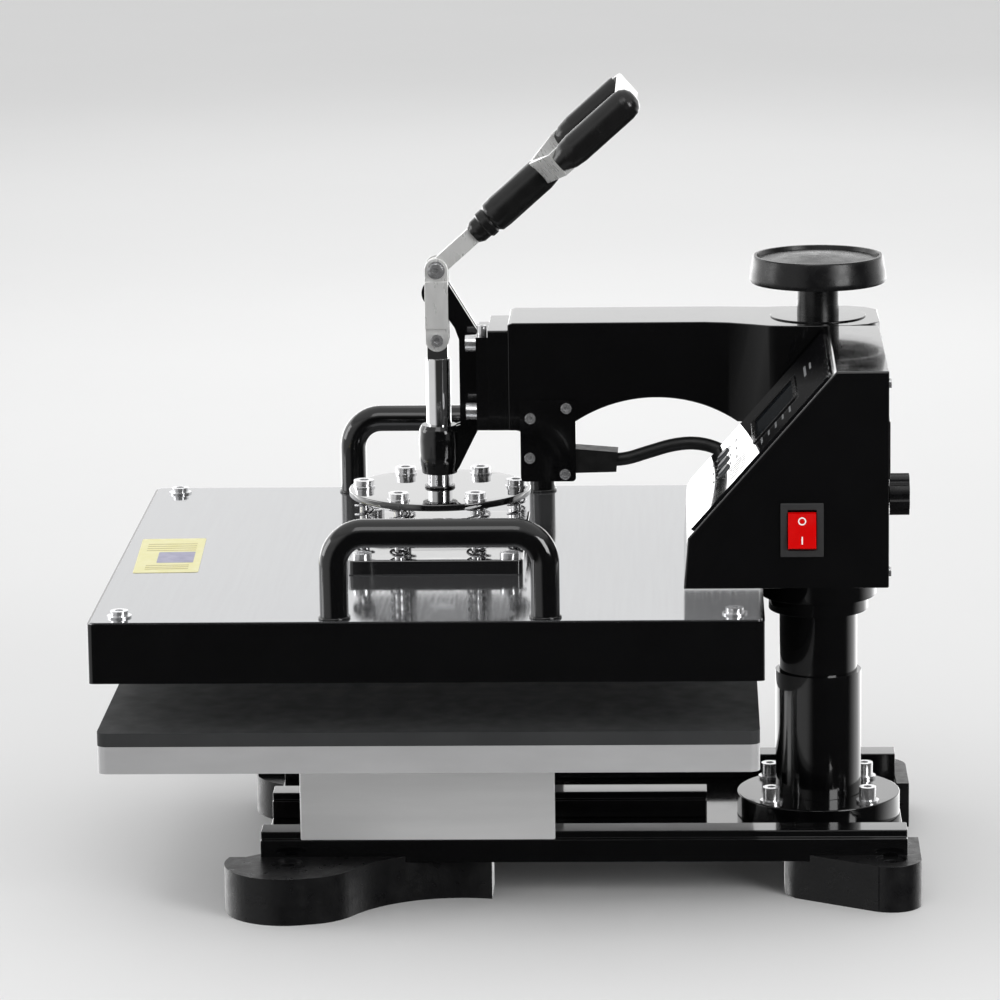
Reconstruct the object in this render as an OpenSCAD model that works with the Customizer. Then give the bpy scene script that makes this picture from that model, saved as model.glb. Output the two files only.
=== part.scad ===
// Swing-away heat press: ribbed base on four feet, fixed lower platen, and a swinging arm
// that carries a toggle lever, a spring-mounted heated platen and a control box.
// Millimetres, +Z up. The operator stands at -Y, the column is at the back (+Y).

/* [Platens] */
// Side length of the square lower platen
platen_w = 380; // [370:1:384]
// Thickness of the lower platen
platen_t = 16; // [12:1:17]
// Thickness of the silicone pad
pad_t = 8; // [6:0.5:8]
// Side length of the upper cover
cover_w = 386; // [386:1:396]
// Height of the upper cover
cover_h = 34.8; // [34:0.1:35]
// Underside of the lower platen above the table
platen_z = 102.5; // [102:0.5:102.5]

/* [Base] */
// Half width of the base over the side rails
base_half_w = 101; // [98:1:101]
// Front end of the base, from the press axis
base_front = 105; // [100:1:110]
// Rear end of the base, from the press axis
base_back = 278; // [278:1:290]
// Height of the feet
foot_h = 28; // [28:1:28]
// Radius of the bolt-down holes in the feet
foot_hole_r = 4.5; // [3.5:0.1:5]

/* [Column] */
// Distance from the press axis to the column axis
column_y = 228; // [226:1:230]
// Radius of the turning post
post_r = 23.5; // [22:0.5:24]
// Radius of the fixed sleeve
sleeve_r = 26; // [25.5:0.5:28]
// Top of the fixed sleeve above the table
sleeve_top = 117; // [90:1:120]

/* [Arm] */
// Half width of the arm
arm_half_w = 28; // [24:1:28]
// Top of the arm above the table
arm_top = 335.5; // [335:0.5:336]
// Underside of the arm at its front end
arm_bottom = 270.5; // [268:0.5:271]
// Radius of the hub round the post
hub_r = 35; // [33:0.5:35]

/* [Toggle] */
// Distance between the lever's two pins, half of the press stroke
crank_r = 14.5; // [14.5:0.1:14.6]
// Height of the lever's fixed pin above the table
lever_z = 350.1; // [349:0.1:352]
// Distance between the link's two pins
link_l = 42.5; // [42:0.1:43]
// Angle of the lever above the horizontal when the press is open
lever_angle = 41.5; // [38:0.5:46]
// Spacing of the two legs of the lever's stirrup
stirrup_w = 104; // [80:1:110]

/* [Control box] */
// Left side of the box
box_x0 = 36; // [36:1:36]
// Right side of the box
box_x1 = 190; // [180:1:190]
// Underside of the box above the table
box_z0 = 209.5; // [206:0.5:212]
// Top of the box above the table
box_z1 = 334; // [330:0.5:334]

/* [Hidden] */
$fn = 64;

function dir_yz(a) = [0, cos(a), sin(a)];

// Base levels
deck_t = 3;
deck_z = 24;
deck_top = deck_z + deck_t;
rail_w = 18;
rail_ledge = 3;
rail_ledge_z = 38;
rail_top = 42.3;
base_len = base_front + base_back;
centre_rail_back = 160;
flange_r = 49.5;
flange_t = 14;
flange_top = deck_top + flange_t;
flange_bolt_at = 29;

// Feet
front_hole = [113, -88];
rear_hole = [109, 268];
lobe_r = 37.5;
rear_lobe_r = 18;

// Support and platen levels
bracket_t = 3;
bracket_front = -81;
bracket_back = 70;
platen_top = platen_z + platen_t;
pad_top = platen_top + pad_t;

// Upper platen levels
stroke = 2 * crank_r;
closed_gap = 0.5;
heat_z = 126.5 + stroke + closed_gap;
cover_z0 = heat_z + 0.5;
cover_top = cover_z0 + cover_h;
sheet_t = 0.7;
sheet_top = cover_top + sheet_t;
sheet_w = cover_w - 3;
spring_plate_t = 9;
spring_plate_top = sheet_top + spring_plate_t;
disc_r = 54.8;
disc_t = 4;
disc_top = 231;
disc_z = disc_top - disc_t;
disc_bolt_at = 46;
screw_at = 176;
rod_r = 7.5;
handle_x = 182;
handle_y_right = 8;
handle_y_left = -4;
handle_left_drop = 1.8;
handle_r = 8.25;
handle_half = 60.3;
handle_top = 241.3;
handle_bend = 18;

// Column and hub levels
hub_z0 = 164;
collar_z0 = 155;
collar_r = 30;
post_top = 322;
nut_h = 25;
hub_roof = 8;
run = 0.05;
screw_r = 8;
cap_t = 0.8;
cap_r = 28.5;
hub_top = arm_top - 1.5;
wheel_z0 = hub_top + cap_t;
wheel_rim_z = 355;
wheel_h = 16;

// Arm front
end_plate_y = 31;
end_plate_t = 12;
flange_plate_y = 24;
guide_z0 = 240;
guide_z1 = 269.5;
cheek_in = 3.2;
cheek_out = 5.2;
pin_top_z = lever_z + crank_r;
rod_pin_z = pin_top_z - link_l;
pin_r = 3.5;
link_in = 5.8;
link_out = 8.3;
link_jog = 1.5;
link_half_w = 7;

// Cable
cable_plate = [[28, 50, 240], [31, 83, 289]];
cable_screws = [[56, 278.5], [77.5, 284.5], [55.5, 254.5], [76.5, 244.5]];
cord_r = 4;
cord_route = [[20, 104, 251], [20, 110, 251.3], [20, 116, 252.4], [20.2, 123, 254.6],
    [20.5, 130, 256.8], [21, 138, 259.2], [22, 146, 260.8], [22.6, 153, 261.2],
    [23.2, 160, 260.4], [24.2, 166, 258.7], [26.2, 171, 256.5], [29.2, 174.6, 254.6],
    [32, 176.3, 253.6], [34.6, 177.1, 253.1]];

// Box
box_y0 = 147;
box_y1 = 263;
box_wall = 1.5;
slope_y = 233.5;
slope_z = 238.7;
slope_y0 = 149.3;
slope_len = norm([slope_y - slope_y0, box_z1 - slope_z]);
slope_angle = atan2(box_z1 - slope_z, slope_y - slope_y0);
panel_t = 1.4;
box_mid_x = (box_x0 + box_x1) / 2;
switch_at = [214, 243.5];
lock_z = 224.7;
button_travel = 1;

// The row's origin is under the middle of the whole press, so everything moves forward
frame_y = 46.5;

// ---------- helpers ----------

module in_frame() {
    translate([0, -frame_y, 0])
        children();
}

module rounded_slab(w, d, h, r) {
    linear_extrude(h)
        rounded_rect(w, d, r);
}

module rounded_rect(w, d, r) {
    square([w - 2 * r, d], center = true);
    square([w, d - 2 * r], center = true);
    for (sx = [-1, 1], sy = [-1, 1])
        translate([sx * (w / 2 - r), sy * (d / 2 - r)])
            circle(r);
}

// A profile given as [y, z] points, extruded along X from x0 to x1
module slab_yz(x0, x1) {
    translate([x0, 0, 0])
        rotate([90, 0, 90])
            linear_extrude(x1 - x0)
                children();
}

// A profile given as [x, z] points, extruded along Y from y0 to y1
module slab_xz(y0, y1) {
    translate([0, y1, 0])
        rotate([90, 0, 0])
            linear_extrude(y1 - y0)
                children();
}

// Pin along X through [y, z]
module pin_x(y, z, r, x0, x1) {
    translate([x0, y, z])
        rotate([0, 90, 0])
            cylinder(r = r, h = x1 - x0);
}

// Socket head screw standing on z = 0, shank going down
module cap_screw(head_r, head_h, shank_r, shank_l) {
    difference() {
        cylinder(r = head_r, h = head_h);
        translate([0, 0, head_h - 0.6 * head_h])
            cylinder(r = head_r * 0.5, h = head_h, $fn = 6);
    }
    translate([0, 0, -shank_l])
        cylinder(r = shank_r, h = shank_l);
}

// ---------- base ----------

module base_deck() {
    color("#151515") in_frame()
        difference() {
            translate([-base_half_w + rail_ledge, -base_front, deck_z])
                cube([2 * (base_half_w - rail_ledge), base_len, deck_t]);
            for (sx = [-1, 1], sy = [-1, 1])
                translate([sx * flange_bolt_at, column_y + sy * flange_bolt_at, deck_z - 1])
                    cylinder(r = 3.1, h = deck_t + 2);
        }
}

module side_rail_profile() {
    polygon([[base_half_w - rail_ledge - rail_w, deck_top],
        [base_half_w - rail_ledge - rail_w, rail_top],
        [base_half_w - rail_ledge, rail_top],
        [base_half_w - rail_ledge, rail_ledge_z],
        [base_half_w, rail_ledge_z],
        [base_half_w, deck_z],
        [base_half_w - rail_ledge, deck_z],
        [base_half_w - rail_ledge, deck_top]]);
}

module side_rails() {
    color("#111111") in_frame()
        for (s = [0, 1])
            mirror([s, 0, 0])
                slab_xz(-base_front, base_back)
                    side_rail_profile();
}

module centre_rail() {
    color("#111111") in_frame()
        slab_xz(-base_front, centre_rail_back)
            polygon([[-12, deck_top], [-12, rail_ledge_z], [-9, rail_ledge_z], [-9, rail_top],
                [9, rail_top], [9, rail_ledge_z], [12, rail_ledge_z], [12, deck_top]]);
}

// Plan of a front foot: a round lobe with a neck that runs back under the rail
module front_foot_plan() {
    translate(front_hole)
        circle(lobe_r);
    translate([front_hole[0], -80])
        circle(35.4);
    translate([62, -100])
        square([22, 132]);
    difference() {
        translate([62, -100])
            square([68, 132]);
        translate([165, 14])
            circle(72, $fn = 96);
    }
}

module rear_foot_plan() {
    translate(rear_hole)
        circle(rear_lobe_r);
    polygon([[62, 206], [86, 206], [96, 212], [rear_hole[0] + 16.5, rear_hole[1] - 8],
        [rear_hole[0], rear_hole[1] + rear_lobe_r], [62, rear_hole[1] + rear_lobe_r]]);
}

module foot_blank(hole) {
    difference() {
        linear_extrude(foot_h)
            children();
        translate([0, -200, deck_z])
            cube([base_half_w, 478, foot_h]);
        translate([hole[0], hole[1], -1])
            cylinder(r = foot_hole_r, h = foot_h + 2);
        translate([hole[0], hole[1], foot_h - 2])
            cylinder(r = 2 * foot_hole_r, h = 3);
    }
}

module front_foot() {
    color("#1c1c1c") in_frame()
        foot_blank(front_hole)
            front_foot_plan();
}

module rear_foot() {
    color("#1c1c1c") in_frame()
        foot_blank(rear_hole)
            rear_foot_plan();
}

module foot_front_right() {
    front_foot();
}

module foot_front_left() {
    mirror([1, 0, 0])
        front_foot();
}

module foot_rear_right() {
    rear_foot();
}

module foot_rear_left() {
    mirror([1, 0, 0])
        rear_foot();
}

module column_flange() {
    color("#141414") in_frame()
        translate([0, column_y, deck_top])
            difference() {
                cylinder(r = flange_r, h = flange_t, $fn = 96);
                translate([0, 0, -1])
                    cylinder(r = sleeve_r, h = flange_t + 2);
                for (sx = [-1, 1], sy = [-1, 1])
                    translate([sx * flange_bolt_at, sy * flange_bolt_at, -1])
                        cylinder(r = 3.1, h = flange_t + 2);
            }
}

module flange_bolts() {
    color("silver") in_frame()
        for (sx = [-1, 1], sy = [-1, 1])
            translate([sx * flange_bolt_at, column_y + sy * flange_bolt_at, flange_top]) {
                cylinder(r = 7, h = 1.6);
                translate([0, 0, 1.6])
                    cap_screw(5.2, 8, 3, flange_t + deck_t + 1.6);
            }
}

module column_sleeve() {
    color("#101010") in_frame()
        translate([0, column_y, deck_top])
            difference() {
                cylinder(r = sleeve_r, h = sleeve_top - deck_top);
                translate([0, 0, 3])
                    cylinder(r = post_r + run, h = sleeve_top);
            }
}

module support_bracket() {
    color("#a8a8a8") in_frame()
        difference() {
            translate([-base_half_w, bracket_front, rail_ledge_z])
                cube([2 * base_half_w, bracket_back - bracket_front, platen_z - rail_ledge_z]);
            translate([-base_half_w + bracket_t, bracket_front - 1, rail_ledge_z - 1])
                cube([2 * (base_half_w - bracket_t), bracket_back - bracket_front + 2,
                    platen_z - rail_ledge_z + 1 - bracket_t]);
            for (sx = [-1, 1], sy = [-1, 1])
                translate([sx * 60, -5 + sy * 50, platen_z - bracket_t - 1])
                    cylinder(r = 4.1, h = bracket_t + 2);
        }
}

module platen_screws() {
    color("silver") in_frame()
        for (sx = [-1, 1], sy = [-1, 1])
            translate([sx * 60, -5 + sy * 50, platen_z - bracket_t])
                rotate([180, 0, 0])
                    cap_screw(6.5, 8, 4, bracket_t + 10);
}

module lower_platen() {
    color("#b5b5b5") in_frame()
        difference() {
            translate([0, 0, platen_z])
                rounded_slab(platen_w, platen_w, platen_t, 6);
            for (sx = [-1, 1], sy = [-1, 1])
                translate([sx * 60, -5 + sy * 50, platen_z - 1])
                    cylinder(r = 4.1, h = 12);
        }
}

module silicone_pad() {
    color("#4c4c4c") in_frame()
        translate([0, 0, platen_top])
            rounded_slab(platen_w, platen_w, pad_t, 6);
}

// ---------- turning post ----------

module column_post() {
    color("#0e0e0e") in_frame()
        translate([0, column_y, deck_top + 3])
            difference() {
                cylinder(r = post_r, h = post_top - deck_top - 3);
                translate([0, 0, 4])
                    cylinder(r = 18, h = post_top);
            }
}

module post_nut() {
    color("#b08d57") in_frame()
        translate([0, column_y, post_top - nut_h])
            difference() {
                cylinder(r = 18, h = nut_h);
                translate([0, 0, -1])
                    cylinder(r = screw_r + run, h = nut_h + 2);
            }
}

// ---------- arm ----------

module arm_profile() {
    difference() {
        polygon([[43, arm_bottom], [43, arm_top - 1], [46, arm_top], [160, arm_top],
            [174, arm_top - 0.3], [186, arm_top - 0.9], [197, hub_top], [264, hub_top],
            [264, arm_bottom + 4], [178, arm_bottom + 5], [83, arm_bottom + 5],
            [78, arm_bottom]]);
        translate([131, arm_bottom - 68.5])
            circle(88, $fn = 128);
    }
}

// Half of the arm's plan: it flares out to the hub block, which is cut flat at the back
function flare() =
    [[arm_half_w, 43], [arm_half_w, 160], [arm_half_w + 1.2, 175], [31.6, 188], [34.4, 199],
        [box_x0, 210], [box_x0, 246], [31, 257], [22, 264]];

module arm_plan() {
    side = flare();
    polygon(concat(side, [for (i = [len(side) - 1:-1:0]) [-side[i][0], side[i][1]]]));
}

module swing_arm() {
    color("#121212") in_frame()
        difference() {
            union() {
                intersection() {
                    slab_yz(-box_x0, box_x0)
                        arm_profile();
                    translate([0, 0, arm_bottom - 10])
                        linear_extrude(100)
                            arm_plan();
                }
                translate([0, column_y, hub_z0])
                    cylinder(r = hub_r, h = hub_top - hub_z0, $fn = 96);
                translate([0, column_y, collar_z0])
                    cylinder(r = collar_r, h = hub_z0 - collar_z0 + 1, $fn = 96);
                translate([20, column_y - 10, 226])
                    cube([box_x0 - 20, 20, 90]);
            }
            translate([0, column_y, collar_z0 - 1])
                cylinder(r = post_r + run, h = hub_top - hub_roof - collar_z0 + 1);
            translate([0, column_y, hub_top - hub_roof - 1])
                cylinder(r = screw_r + run, h = hub_roof + 2);
            translate([0, column_y, lock_z])
                rotate([-90, 0, 0])
                    cylinder(r = 5 + run, h = hub_r + 5);
        }
}

module hub_cap() {
    color("#2a2a2a") in_frame()
        translate([0, column_y, hub_top])
            difference() {
                cylinder(r = cap_r, h = cap_t, $fn = 96);
                translate([0, 0, -1])
                    cylinder(r = screw_r + run, h = cap_t + 2);
            }
}

module arm_end_plate() {
    color("#161616") in_frame()
        difference() {
            translate([-arm_half_w, end_plate_y, arm_bottom])
                cube([2 * arm_half_w, end_plate_t, arm_top - 4.5 - arm_bottom]);
            bracket_bolt_places()
                rotate([-90, 0, 0])
                    translate([0, 0, -1])
                        cylinder(r = 3.1, h = 40);
        }
}

module bracket_bolt_places() {
    for (sx = [-1, 1], z = [281.1, 322.4])
        translate([sx * 20, flange_plate_y, z])
            children();
}

// Side view of a cheek of the front bracket
module cheek_profile() {
    translate([0, lever_z])
        circle(9);
    polygon([[7.7, lever_z + 4.7], [24.5, 327], [24.5, 271], [24.5, 268.5], [12.2, 244],
        [10, 241], [10, 269], [13, 270], [13, 322], [10.5, 329], [6.5, 335],
        [5.5, lever_z - 7], [0, lever_z - 3]]);
}

module front_bracket() {
    color("#0f0f0f") in_frame()
        difference() {
            union() {
                for (s = [0, 1])
                    mirror([s, 0, 0])
                        slab_yz(cheek_in, cheek_out)
                            cheek_profile();
                translate([-arm_half_w, flange_plate_y, 271])
                    cube([2 * arm_half_w, end_plate_y - flange_plate_y, 56]);
                slab_yz(-cheek_in, cheek_in)
                    polygon([[14, 313], [24.5, 313], [24.5, 268], [14, 248]]);
                rotate_extrude()
                    polygon([[0, guide_z0], [10.5, guide_z0], [12, guide_z0 + 8],
                        [12.4, guide_z0 + 20], [12, guide_z1 - 3], [10.5, guide_z1], [0, guide_z1]]);
            }
            translate([0, 0, guide_z0 - 1])
                cylinder(r = rod_r + run, h = guide_z1 - guide_z0 + 2);
            pin_x(0, lever_z, pin_r, -20, 20);
            bracket_bolt_places()
                rotate([-90, 0, 0])
                    translate([0, 0, -1])
                        cylinder(r = 3.1, h = 40);
        }
}

module bracket_bolts() {
    color("silver") in_frame() {
        bracket_bolt_places()
            rotate([90, 0, 0])
                cap_screw(5, 6.5, 3, 18.5);
        translate([20, flange_plate_y + 3.5, 327])
            cap_screw(2.8, 6, 2, 0.01);
    }
}

module lever_pin() {
    color("silver") in_frame()
        pin_x(0, lever_z, pin_r, -cheek_out, cheek_out);
}

// ---------- cable from the box to the platen ----------

module cable_plate() {
    size = cable_plate[1] - cable_plate[0];
    color("#131313") in_frame()
        difference() {
            translate([cable_plate[0][0], cable_plate[0][1] + size[1] / 2,
                cable_plate[0][2] + size[2] / 2])
                rotate([90, 0, 90])
                    rounded_slab(size[1], size[2], size[0], 2.5);
            for (at = cable_screws)
                pin_x(at[0], at[1], 1.55, cable_plate[0][0] - 1, cable_plate[1][0] + 1);
        }
}

module cable_boot() {
    color("#181818") in_frame()
        difference() {
            slab_yz(12, 28)
                polygon([[58, 244], [58, 259.5], [84, 259], [108, 257], [107, 245]]);
            translate([20, 103.9, 251])
                rotate([-90, 0, 0])
                    cylinder(r = cord_r + 0.1, h = 10);
        }
}

// Tube round the route: one ring of points at each station, square to the route
function tangent(p, i) =
    let (a = p[max(i - 1, 0)], b = p[min(i + 1, len(p) - 1)]) (b - a) / norm(b - a);
function ring(c, t, r, n) =
    let (u0 = cross(t, [0, 0, 1]), u = u0 / norm(u0), v = cross(u, t))
    [for (k = [0:n - 1]) c + r * (cos(360 * k / n) * u + sin(360 * k / n) * v)];

module tube(p, r, n) {
    rings = len(p);
    pts = [for (i = [0:rings - 1]) each ring(p[i], tangent(p, i), r, n)];
    lower = [for (i = [0:rings - 2], k = [0:n - 1])
        [i * n + k, i * n + (k + 1) % n, (i + 1) * n + (k + 1) % n]];
    upper = [for (i = [0:rings - 2], k = [0:n - 1])
        [i * n + k, (i + 1) * n + (k + 1) % n, (i + 1) * n + k]];
    ends = [[for (k = [n - 1:-1:0]) k], [for (k = [0:n - 1]) (rings - 1) * n + k]];
    polyhedron(points = pts, faces = concat(lower, upper, ends));
}

module platen_cord() {
    color("#0c0c0c") in_frame()
        tube(cord_route, cord_r, 12);
}

module case_screws() {
    color("silver") in_frame() {
        for (at = cable_screws)
            translate([cable_plate[1][0], at[0], at[1]])
                rotate([0, 90, 0])
                    cap_screw(3.2, 1.8, 1.5, 2.5);
        for (x = [box_x0 + 8, box_x1 - 8], z = [box_z0 + 8, box_z1 - 8])
            translate([x, box_y1, z])
                rotate([-90, 0, 0])
                    cap_screw(2.8, 1.6, 1.4, 6);
    }
}

// ---------- control box ----------

module box_profile(inset) {
    k = inset * tan((90 - slope_angle) / 2);
    j = inset * tan(slope_angle / 2);
    polygon([[box_y0 + inset, box_z0 + inset], [box_y1 - inset, box_z0 + inset],
        [box_y1 - inset, box_z1 - inset], [slope_y + j, box_z1 - inset],
        [slope_y0 + inset, slope_z - k]]);
}

module control_box() {
    color("#101010") in_frame()
        difference() {
            slab_yz(box_x0, box_x1)
                box_profile(0);
            slab_yz(box_x0 + box_wall, box_x1 - box_wall)
                box_profile(box_wall);
            translate([box_x0 + box_wall, box_y1 - 3, box_z0 + box_wall])
                cube([box_x1 - box_x0 - 2 * box_wall, 4, box_z1 - box_z0 - 2 * box_wall]);
            translate([box_x1 - 3, switch_at[0] - 10, switch_at[1] - 13.5])
                cube([4, 20, 27]);
            on_panel(box_mid_x, 0, -box_wall - 1)
                for (c = button_places)
                    translate([c[0], c[1], 0])
                        cylinder(r = 4.5, h = box_wall + 2);
        }
}

module box_back() {
    color("#141414") in_frame()
        difference() {
            translate([box_x0 + box_wall, box_y1 - box_wall, box_z0 + box_wall])
                cube([box_x1 - box_x0 - 2 * box_wall, box_wall, box_z1 - box_z0 - 2 * box_wall]);
            for (x = [box_x0 + 8, box_x1 - 8], z = [box_z0 + 8, box_z1 - 8])
                translate([x, box_y1 + 1, z])
                    rotate([90, 0, 0])
                        cylinder(r = 1.45, h = 4);
            translate([106, box_y1 - 3, 264])
                cube([28, 4, 28]);
        }
}

// Places its children on the sloping face: x across, y up the slope, z outwards
module on_panel(x, s, out) {
    translate([x, slope_y0, slope_z])
        rotate([slope_angle, 0, 0])
            translate([0, s, out])
                children();
}

button_places = [[-36, 34], [-12, 34], [12, 34]];
window_place = [0, 78];

module display_panel() {
    color("#202020") in_frame()
        on_panel(box_mid_x, 0, 0)
            difference() {
                translate([0, slope_len / 2, 0])
                    rounded_slab(box_x1 - box_x0 - 12, slope_len - 8, panel_t, 3);
                for (c = button_places)
                    translate([c[0], c[1], -1])
                        cylinder(r = 4.5, h = panel_t + 2);
                translate([window_place[0], window_place[1], -1])
                    translate([-30, -16, 0])
                        cube([60, 32, panel_t + 2]);
            }
}

module display_window() {
    color("#26313a") in_frame()
        on_panel(box_mid_x, 0, 0)
            translate([window_place[0], window_place[1], 0])
                translate([-30, -16, 0])
                    cube([60, 32, 1]);
}

module panel_button(i) {
    color("#c8c8c8") in_frame()
        on_panel(box_mid_x, 0, 0)
            translate([button_places[i][0], button_places[i][1], -1])
                cylinder(r = 4.2, h = panel_t + 2.2);
}

module button_up() {
    panel_button(0);
}

module button_down() {
    panel_button(1);
}

module button_set() {
    panel_button(2);
}

module switch_bezel() {
    color("#1a1a1a") in_frame()
        translate([box_x1, switch_at[0], switch_at[1]])
            difference() {
                union() {
                    translate([0, -12.2, -15.5])
                        cube([1.6, 24.4, 31]);
                    translate([-14, -10, -13.5])
                        cube([14, 20, 27]);
                }
                translate([-12.5, -8.2, -11.6])
                    cube([20, 16.4, 23.2]);
            }
}

// Rocker: a shallow V seen from the side, turning on a pin along Y
module power_rocker() {
    color("#d01010") in_frame()
        translate([box_x1, switch_at[0] + 7.9, switch_at[1]])
            rotate([90, 0, 0]) {
                linear_extrude(15.8)
                    polygon([[-6, -5], [-6, 5], [1.0, 10.4], [2.6, 9.8], [3.0, 0],
                        [5.2, -9.6], [3.6, -10.4]]);
                translate([-3, 0, -0.2])
                    cylinder(r = 1.6, h = 16.2);
            }
}

module power_inlet() {
    color("#161616") in_frame()
        translate([120, box_y1, 278])
            difference() {
                union() {
                    translate([-16, 0, -17])
                        cube([32, 3, 34]);
                    translate([-13.9, -16, -13.9])
                        cube([27.8, 16, 27.8]);
                }
                translate([-12, -13, -10])
                    cube([24, 20, 20]);
            }
}

module circuit_board() {
    color("#1c5a34") in_frame()
        translate([box_x0 + 20, 176, box_z0 + box_wall]) {
            translate([0, 0, 12.5])
                cube([70, 70, 1.6]);
            for (x = [5, 65], y = [5, 65])
                translate([x, y, 0])
                    cylinder(r = 3, h = 12.6);
        }
}

module transformer() {
    color("#7a4a20") in_frame()
        translate([box_x1 - 60, 178, box_z0 + box_wall])
            cube([32, 42, 24]);
}

// ---------- pressure wheel ----------

module hand_wheel() {
    color("#1a1a1a") in_frame()
        translate([0, column_y, 0]) {
            rotate_extrude($fn = 96)
                polygon([[0, wheel_rim_z + 11], [screw_r, wheel_rim_z + 11], [screw_r, wheel_z0],
                    [12.5, wheel_z0], [12.5, wheel_rim_z + 10], [34.5, wheel_rim_z + 9],
                    [36.8, wheel_rim_z + 0.4], [37.6, wheel_rim_z], [40, wheel_rim_z],
                    [40.85, wheel_rim_z + 1.5], [40.5, wheel_rim_z + 5],
                    [38.9, wheel_rim_z + wheel_h - 1], [38.2, wheel_rim_z + wheel_h],
                    [36.6, wheel_rim_z + wheel_h], [35.8, wheel_rim_z + wheel_h - 2.4],
                    [6, wheel_rim_z + wheel_h + 0.4], [0, wheel_rim_z + wheel_h + 0.4]]);
        }
}

module pressure_screw() {
    color("silver") in_frame()
        translate([0, column_y, 255])
            cylinder(r = screw_r, h = wheel_rim_z + 11 - 255);
}

module lock_knob() {
    color("#141414") in_frame()
        translate([0, column_y, lock_z])
            rotate([-90, 0, 0]) {
                translate([0, 0, post_r + 1])
                    cylinder(r = 5, h = 42.7 - post_r);
                translate([0, 0, hub_r + 1])
                    cylinder(r = 8.5, h = 6);
                translate([0, 0, 42.7])
                    difference() {
                        cylinder(r = 12.6, h = 12);
                        for (a = [0:45:315])
                            rotate([0, 0, a])
                                translate([14.6, 0, -1])
                                    cylinder(r = 3.2, h = 14);
                    }
            }
}

// ---------- toggle ----------

// Places its children on the lever: x across, y along the lever, z square to it
module on_lever(s) {
    translate([0, 0, pin_top_z])
        rotate([lever_angle, 0, 0])
            translate([0, s, 0])
                children();
}

leg_start = 101;
leg_end = 150;
leg_lift = 1.9;
strap_t = 3;
strap_w = 16;
grip_r = 9.5;

module lever_bar() {
    color("#c2c2c2") in_frame()
        difference() {
            union() {
                slab_yz(-3, 3) {
                    translate([0, lever_z])
                        circle(7);
                    translate([0, pin_top_z])
                        circle(6.5);
                    translate([-5.5, lever_z])
                        square([11, crank_r]);
                }
                on_lever(0)
                    translate([-3, 0, -5.2])
                        cube([6, 92, 10.4]);
                stirrup();
            }
            pin_x(0, lever_z, pin_r + run, -20, 20);
            pin_x(0, pin_top_z, pin_r, -20, 20);
        }
}

// Flat steel stirrup: a yoke, two legs and a bowed end
module stirrup() {
    half = stirrup_w / 2;
    on_lever(0)
        translate([0, 0, leg_lift - strap_w / 2])
            linear_extrude(strap_w)
                difference() {
                    stirrup_outline(half, 0);
                    stirrup_outline(half - strap_t, strap_t);
                }
}

module stirrup_outline(half, inset) {
    r = 6 - inset;
    polygon([[-6 + inset, 84 + inset], [6 - inset, 84 + inset], [half, leg_start],
        [half, leg_end], [half - r, leg_end + r], [-half + r, leg_end + r],
        [-half, leg_end], [-half, leg_start]]);
    for (s = [-1, 1])
        translate([s * (half - r), leg_end])
            circle(r);
}

module stem_grip() {
    color("#141414") in_frame()
        on_lever(0)
            difference() {
                rotate([-90, 0, 0])
                    rotate_extrude()
                        polygon([[0, 30], [5.8, 30], [7.4, 33], [7.6, 38], [8.8, 39], [8.8, 43],
                            [8, 44], [9.8, 46], [10.25, 52], [10.25, 84], [9.4, 90], [7, 94],
                            [0, 94]]);
                translate([-3, 20, -5.2])
                    cube([6, 72, 10.4]);
                translate([0, 0, leg_lift - strap_w / 2 - 0.01])
                    linear_extrude(strap_w + 0.02)
                        stirrup_outline(stirrup_w / 2, 0);
            }
}

// The right grip covers the corner of the stirrup, the left one stops short of it
module stirrup_grips() {
    color("#141414") in_frame()
        difference() {
            on_lever(0) {
                leg_grip(1)
                    polygon([[0, leg_start + 1], [5.5, leg_start + 1], [8.6, leg_start + 8],
                        [grip_r, leg_start + 15], [grip_r, leg_end + 3], [8.8, leg_end + 7],
                        [6.8, leg_end + 10], [3.6, leg_end + 11.7], [0, leg_end + 12]]);
                leg_grip(-1)
                    polygon([[0, leg_start - 3], [5.5, leg_start - 3], [8.6, leg_start + 5],
                        [grip_r, leg_start + 13], [grip_r, leg_end - 2], [9, leg_end],
                        [0, leg_end]]);
            }
            stirrup();
        }
}

module leg_grip(side) {
    translate([side * (stirrup_w / 2 - strap_t / 2), 0, leg_lift])
        rotate([-90, 0, 0])
            rotate_extrude()
                children();
}

module link_pin() {
    color("silver") in_frame()
        pin_x(0, pin_top_z, pin_r, 0.3 - link_out, link_out - 0.3);
}

// One link plate: its middle steps outward to clear the bracket's nose
module link_plate() {
    half = link_l / 2;
    difference() {
        union() {
            for (z = [rod_pin_z, pin_top_z])
                slab_yz(link_in, link_out)
                    translate([0, z])
                        circle(link_half_w);
            for (z = [rod_pin_z, pin_top_z - 8])
                slab_yz(link_in, link_out)
                    translate([-link_half_w, z])
                        square([2 * link_half_w, 8]);
            slab_yz(link_in + link_jog, link_out + link_jog)
                translate([-link_half_w, rod_pin_z + 9])
                    square([2 * link_half_w, link_l - 18]);
            for (z = [rod_pin_z + 7, pin_top_z - 11])
                slab_yz(link_in, link_out + link_jog)
                    translate([-link_half_w, z])
                        square([2 * link_half_w, 4]);
        }
        pin_x(0, rod_pin_z, pin_r, 0, 30);
        pin_x(0, pin_top_z, pin_r + run, 0, 30);
    }
}

module toggle_link() {
    color("#cfcfcf") in_frame()
        for (s = [0, 1])
            mirror([s, 0, 0])
                link_plate();
}

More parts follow.
